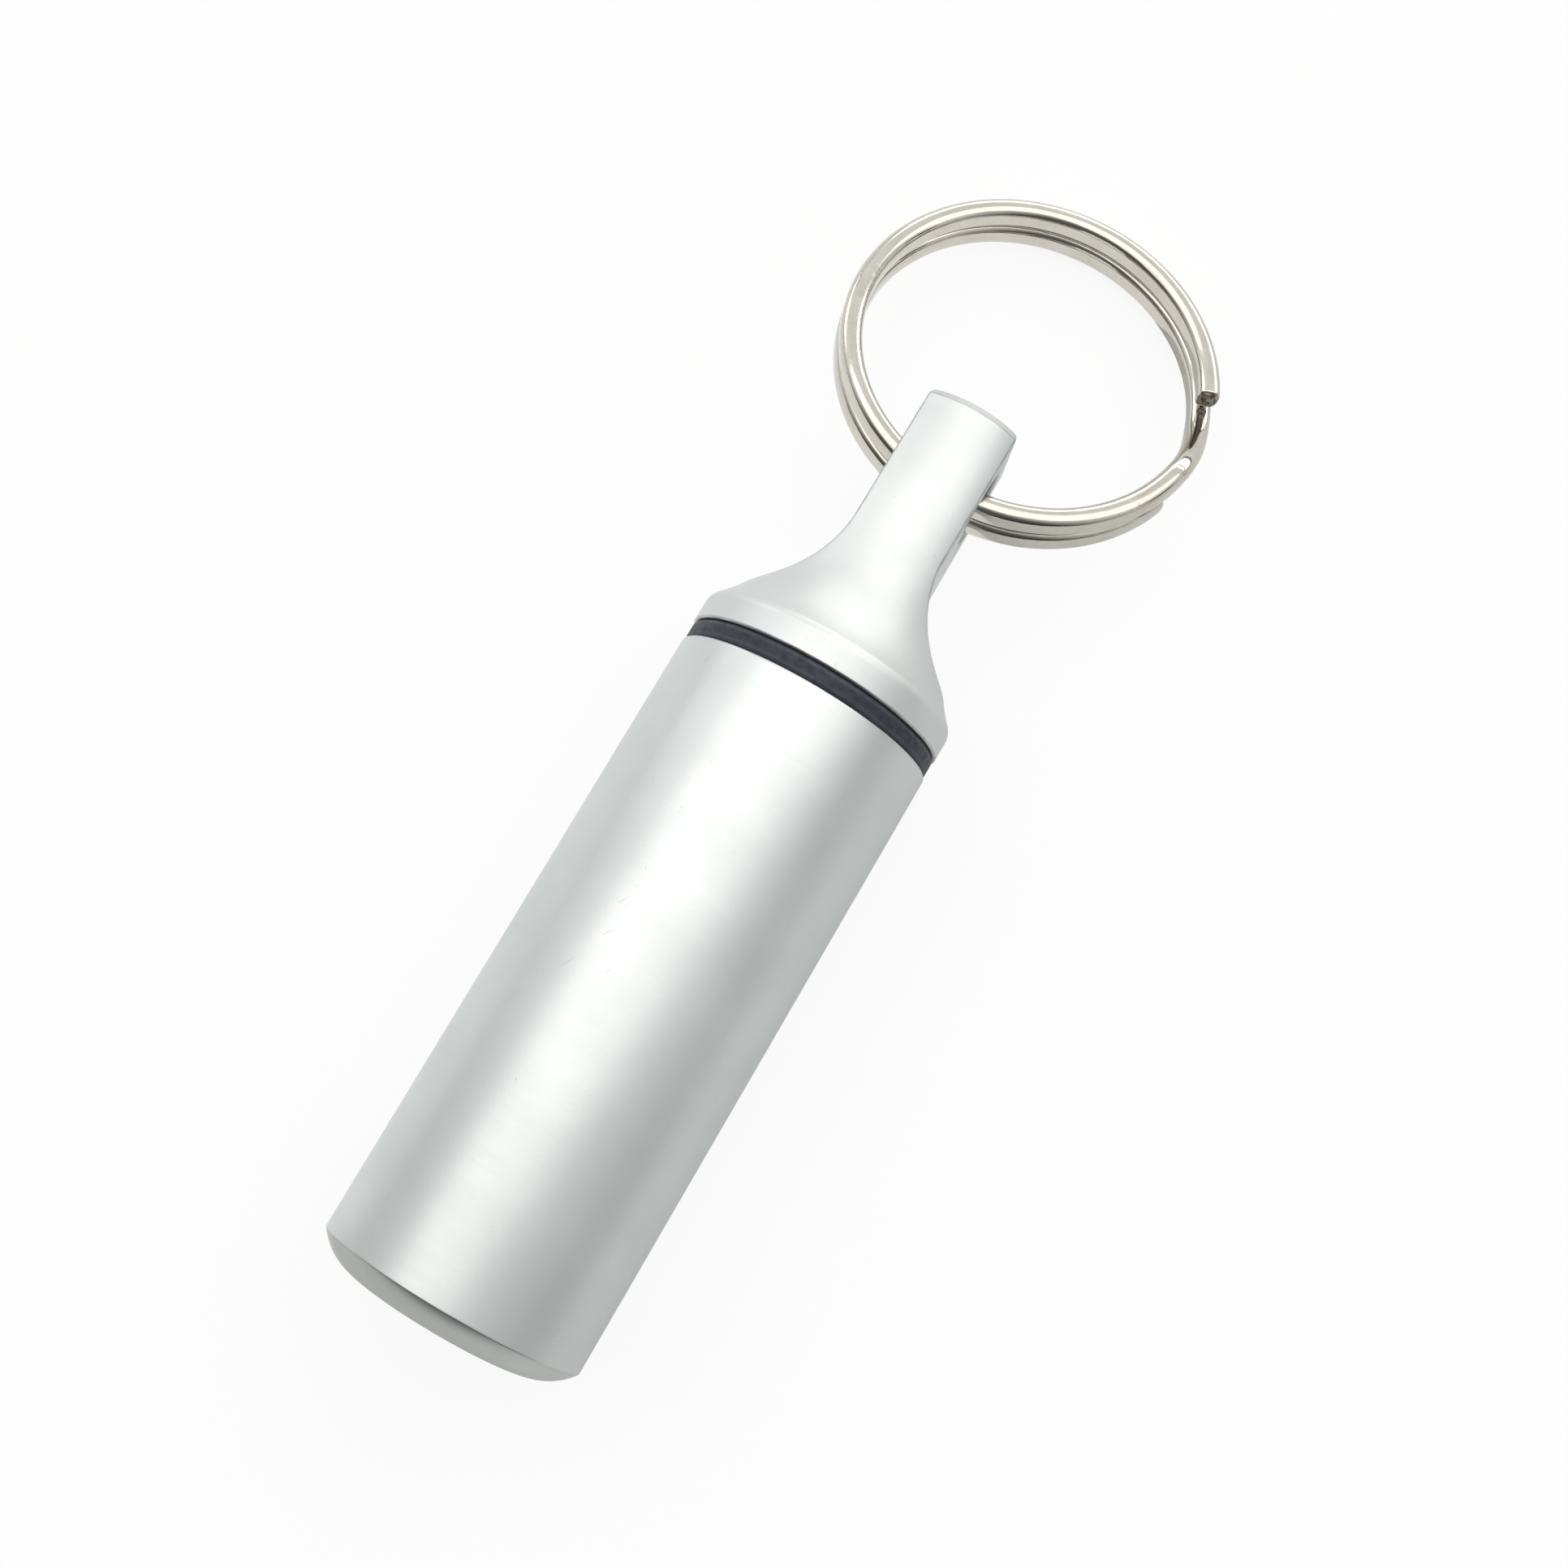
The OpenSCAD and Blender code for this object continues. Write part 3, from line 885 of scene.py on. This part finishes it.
# More points near the two ends, where the wire is rounded off
wave = maths(wire_tree, "SINE", maths(wire_tree, "MULTIPLY", share, 2 * math.pi))
eased = maths(wire_tree, "MULTIPLY_ADD", wave, -end_crowding / (2 * math.pi), share)
sweep = maths(wire_tree, "SUBTRACT", given["End Angle"], given["Start Angle"])
angle = maths(wire_tree, "MULTIPLY_ADD", eased, sweep, given["Start Angle"])
length = maths(wire_tree, "MULTIPLY", sweep, given["Wire Radius"])
travelled = maths(wire_tree, "MULTIPLY", eased, length)
stepped = put(wire_tree, "ShaderNodeMapRange", Value=angle, From_Min=given["Step Start"])
stepped.interpolation_type = "SMOOTHSTEP"
wire_tree.links.new(given["Step End"], stepped.inputs["From Max"])
half_rise = maths(wire_tree, "MULTIPLY", given["Rise"], 0.5)
dropped = maths(wire_tree, "MULTIPLY", stepped.outputs[0], given["Rise"])
spot = put(
    wire_tree,
    "ShaderNodeCombineXYZ",
    X=maths(wire_tree, "MULTIPLY", given["Wire Radius"], maths(wire_tree, "COSINE", angle)),
    Y=maths(wire_tree, "MULTIPLY", given["Wire Radius"], maths(wire_tree, "SINE", angle)),
    Z=maths(wire_tree, "SUBTRACT", half_rise, dropped),
)


def kept_value(geometry, name, value):
    """Stores a value for each point of the wire under a name; returns the geometry."""
    kept = put(wire_tree, "GeometryNodeStoreNamedAttribute", Geometry=geometry, Name=name)
    kept.domain = "POINT"
    wire_tree.links.new(value, kept.inputs["Value"])
    return kept.outputs[0]


# Close to an end the section shrinks along a quarter circle, which rounds the end's edge
end_edge = given["End Round"]
left = maths(wire_tree, "SUBTRACT", length, travelled)
nearest = maths(wire_tree, "MINIMUM", travelled, left)
inside = maths(wire_tree, "MAXIMUM", maths(wire_tree, "SUBTRACT", end_edge, nearest), 0.0)
squares = [maths(wire_tree, "MULTIPLY", value, value) for value in (end_edge, inside)]
drop = maths(wire_tree, "SQRT", maths(wire_tree, "SUBTRACT", *squares))
cut_in = maths(wire_tree, "SUBTRACT", end_edge, drop)
half_width = maths(wire_tree, "MULTIPLY", given["Width"], 0.5)
end_scale = maths(wire_tree, "SUBTRACT", 1.0, maths(wire_tree, "DIVIDE", cut_in, half_width))
measured = kept_value(path.outputs[0], "wire_along", travelled)
measured = kept_value(measured, "end_scale", end_scale)
upright = upright_path(wire_tree, measured, spot.outputs[0])

# The section is a rectangle with rounded corners that keeps its own places for the draw lines
block = put(
    wire_tree,
    "GeometryNodeCurvePrimitiveQuadrilateral",
    Width=given["Width"],
    Height=given["Height"],
)
rounding = put(
    wire_tree, "GeometryNodeFilletCurve", Curve=block.outputs[0], Radius=given["Corner"]
)
rounding.mode = "POLY"
rounding.inputs["Count"].default_value = corner_points
kept_section = put(
    wire_tree,
    "GeometryNodeStoreNamedAttribute",
    Geometry=rounding.outputs[0],
    Name="wire_section",
)
kept_section.data_type = "FLOAT_VECTOR"
kept_section.domain = "POINT"
place = wire_tree.nodes.new("GeometryNodeInputPosition")
vector_input = [s for s in kept_section.inputs if s.name == "Value" and s.type == "VECTOR"][0]
wire_tree.links.new(place.outputs[0], vector_input)
read_scale = put(wire_tree, "GeometryNodeInputNamedAttribute", Name="end_scale")
swept_output(
    wire_tree,
    upright,
    kept_section.outputs[0],
    read_scale.outputs["Attribute"],
    ring_steel,
    output["Geometry"],
)
ring_mesh = grown_mesh(
    wire_tree,
    {
        "Wire Radius": wire_r,
        "Start Angle": end_a,
        "Step Start": step_a,
        "Step End": step_b,
        "End Angle": end_b,
        "Rise": turn_rise,
        "Width": wire_w,
        "Height": wire_h,
        "Corner": wire_corner,
        "End Round": end_round,
    },
    ring_steel,
)
placed = Matrix.Translation(hang) @ Matrix.Rotation(lean, 4, "Y")
placed = placed @ Matrix.Translation((wire_r, 0, 0))
ring_mesh.transform(Matrix.Scale(MM, 4) @ placed)
outward(ring_mesh)
ring_mesh.shade_smooth()
ring_mesh.set_sharp_from_angle(angle=math.radians(50))
finished_piece("split_ring_wire", ring_mesh, ring_steel, "ring", "split_ring")

# Studio: a plain white table under a broad softbox, with a lamp beyond the ring, a lamp to the
# left and a pale room that is dark behind the closed end. The cards, strips and boards show only
# in the metal's reflections. The strips and boards act as the darker things round a real table do.
# The grey cards make a greyer table: the one beside the fob is painted shade where its shadow
# falls.

camera_spot = Vector((14.3474, -9.3412, 124.2339)) * MM
camera_right = Vector((0.502341, -0.864211, 0.028162))
camera_up = Vector((0.848619, 0.499001, 0.175624))
camera_back = Vector((-0.165829, -0.064324, 0.984054))


def turned(right, up, back):
    """A turn whose own X, Y and Z axes point right, up and back."""
    return Matrix((right, up, back)).transposed().to_4x4()


camera = bpy.data.objects.new("camera", bpy.data.cameras.new("camera"))
camera.data.sensor_width = 36.0
camera.data.lens = 50.76013
camera.data.clip_start = 0.005
camera.data.clip_end = 20.0
camera.matrix_world = Matrix.Translation(camera_spot) @ turned(
    camera_right, camera_up, camera_back
)
bpy.context.scene.collection.objects.link(camera)
bpy.context.scene.camera = camera
bpy.context.scene.view_settings.view_transform = "Standard"

# Directions in the studio, and the point that its lamps and cards are placed from, in metres
across = Vector((camera_right.x, camera_right.y, 0)).normalized()
upward = Vector((camera_up.x, camera_up.y, 0)).normalized()
high = Vector((0, 0, 1))
along_fob = Vector((1, 0, 0))
middle = Vector((0.04, 0.0, 0.0))


def flat_faces(name, spots, faces, material):
    """Adds an object of flat faces, in metres."""
    mesh = bpy.data.meshes.new(name)
    mesh.from_pydata(spots, [], faces)
    mesh.materials.append(material)
    added = bpy.data.objects.new(name, mesh)
    bpy.context.scene.collection.objects.link(added)
    return added


def flat_card(name, centre, wide, deep, material, facing=None):
    """A rectangle that belongs to the studio, level or facing a point."""
    w, d = wide / 2, deep / 2
    corners = [(-w, -d, 0), (w, -d, 0), (w, d, 0), (-w, d, 0)]
    card = flat_faces(name, corners, [(0, 1, 2, 3)], material)
    card.location = centre
    if facing is not None:
        card.rotation_euler = (facing - centre).to_track_quat("Z", "Y").to_euler()
    return card


# The table glows for the camera and in reflections, and is plain paper white to other light
table_side = 6.0
table_glow = 0.88
table_white, tree, shader = plain_material("table_white")
shader.inputs["Roughness"].default_value = 0.9
paper = noise(tree, tree.nodes.new("ShaderNodeTexCoord").outputs["Object"], 60.0, 3.0, 0.5)
paper_colour = blended(tree, paper, (0.86, 0.86, 0.86, 1.0), (0.88, 0.88, 0.88, 1.0))
tree.links.new(paper_colour, shader.inputs["Base Color"])
rays = tree.nodes.new("ShaderNodeLightPath").outputs
seen = maths(tree, "MAXIMUM", rays["Is Camera Ray"], rays["Is Glossy Ray"])
seen = maths(tree, "MAXIMUM", seen, rays["Is Transmission Ray"])
glow = put(tree, "ShaderNodeEmission", Color=(1.0, 1.0, 1.0, 1.0), Strength=1.0)
mixed = tree.nodes.new("ShaderNodeMixShader")
tree.links.new(maths(tree, "MULTIPLY", seen, table_glow), mixed.inputs[0])
tree.links.new(shader.outputs[0], mixed.inputs[1])
tree.links.new(glow.outputs[0], mixed.inputs[2])
tree.links.new(mixed.outputs[0], tree.nodes["Material Output"].inputs["Surface"])
under_fob = Vector((0.04, 0.0, -body_r * MM))
flat_card("table", under_fob, table_side, table_side, table_white)


def card_paper(name, colour):
    """Matt paper of one colour for the studio's cards."""
    material, _, shader = plain_material(name)
    shader.inputs["Base Color"].default_value = colour
    shader.inputs["Roughness"].default_value = 0.9
    return material


card_black = card_paper("card_black", (0.02, 0.02, 0.02, 1.0))
# This grey paints shade into the metal's reflection of the table beside the fob
shade_card_grey = card_paper("shade_card_grey", (0.77, 0.78, 0.78, 1.0))
card_dim = card_paper("card_dim", (0.66, 0.655, 0.635, 1.0))

# Narrow dark strips stand all round in two bands: polished wire mirrors them as fine dark lines
strip_r, strip_posts = 0.5, 48
strip_bands = ((0.5, 4.0), (17.5, 19.5))
strip_turns = np.linspace(0, 2 * math.pi, strip_posts + 1)[:-1]
strip_spots, strip_faces = [], []
for band in strip_bands:
    start = len(strip_spots)
    for slope in band:
        rise = strip_r * math.tan(math.radians(slope))
        strip_spots += [
            middle + Vector((strip_r * math.cos(t), strip_r * math.sin(t), rise))
            for t in strip_turns
        ]
    for i in range(strip_posts):
        j = (i + 1) % strip_posts
        foot, head = start, start + strip_posts
        strip_faces.append((foot + i, foot + j, head + j, head + i))
dark_strips = flat_faces("dark_strips", strip_spots, strip_faces, card_black)
mirrored = [dark_strips]

# Two dark boards stand off both ends of the fob, where only the curved wire mirrors them
for name, offset, wide, deep in (
    ("board_a", (-0.55, -0.42, 0.20), 0.42, 0.16),
    ("board_b", (0.25, -0.62, 0.21), 0.22, 0.12),
):
    mirrored.append(
        flat_card(name, middle + Vector(offset), wide, deep, card_black, facing=middle)
    )

# Grey cards lie just over the table, to the right of the fob and below its closed end. The one to
# the right is painted shade: in the metal it greys the table where the fob's shadow falls. The one
# below the closed end greys the part of the table that the closed end mirrors.
mirrored.append(flat_card("side_shade_card", Vector((0.03, -0.076, -0.0075)), 0.24, 0.14, shade_card_grey))
mirrored.append(flat_card("end_card", Vector((-0.078, 0.0, -0.0075)), 0.15, 0.24, card_dim))
for card in mirrored:
    card.visible_camera = False
    card.visible_diffuse = False
    card.visible_transmission = False
    card.visible_shadow = False


def soft_lamp(name, centre, right, up, wide, tall, radiance):
    """A rectangular softbox that shines along up x right, with the given radiance."""
    light = bpy.data.lights.new(name, "AREA")
    light.shape = "RECTANGLE"
    light.size = wide
    light.size_y = tall
    light.energy = radiance * math.pi * wide * tall
    light.color = (1.0, 0.95, 0.92)
    lamp = bpy.data.objects.new(name, light)
    lamp.matrix_world = Matrix.Translation(centre) @ turned(right, up, right.cross(up))
    bpy.context.scene.collection.objects.link(lamp)


over_fob = middle + high * 0.6 + across * 0.13 + upward * 0.235
beyond_ring = middle + along_fob * 1.3 + high * 0.33
from_left = Vector((0.42, 0.86, 0.26)).normalized()
left_right = high.cross(from_left).normalized()
left_up = from_left.cross(left_right)
left_spot = middle + from_left * 1.2
end_right = -along_fob.cross(high)
soft_lamp("softbox", over_fob, across, upward, wide=1.46, tall=0.71, radiance=0.90)
soft_lamp("end_softbox", beyond_ring, end_right, high, wide=1.6, tall=0.56, radiance=1.9)
soft_lamp("left_softbox", left_spot, left_right, left_up, wide=0.5, tall=0.5, radiance=1.4)

# The room: white to the left, a little darker to the right and dark behind the closed end
room = bpy.data.worlds.new("room")
room.use_nodes = True
bpy.context.scene.world = room
tree = room.node_tree
direction = tree.nodes.new("ShaderNodeTexCoord").outputs["Generated"]
shares = []
for axis in (tuple(across), tuple(along_fob)):
    facing = put(tree, "ShaderNodeVectorMath", "DOT_PRODUCT", i0=direction, i1=axis)
    shares.append(facing.outputs["Value"])
to_right, to_ring = shares
rightness = level(tree, to_right, -0.8, 0.8)
sideways = blended(tree, rightness, (1.08, 1.09, 1.09, 1.0), (0.87, 0.88, 0.88, 1.0))
endways = level(tree, to_ring, -0.55, 0.10)
room_colour = blended(tree, endways, (0.12, 0.12, 0.116, 1.0), sideways)
tree.links.new(room_colour, tree.nodes["Background"].inputs["Color"])
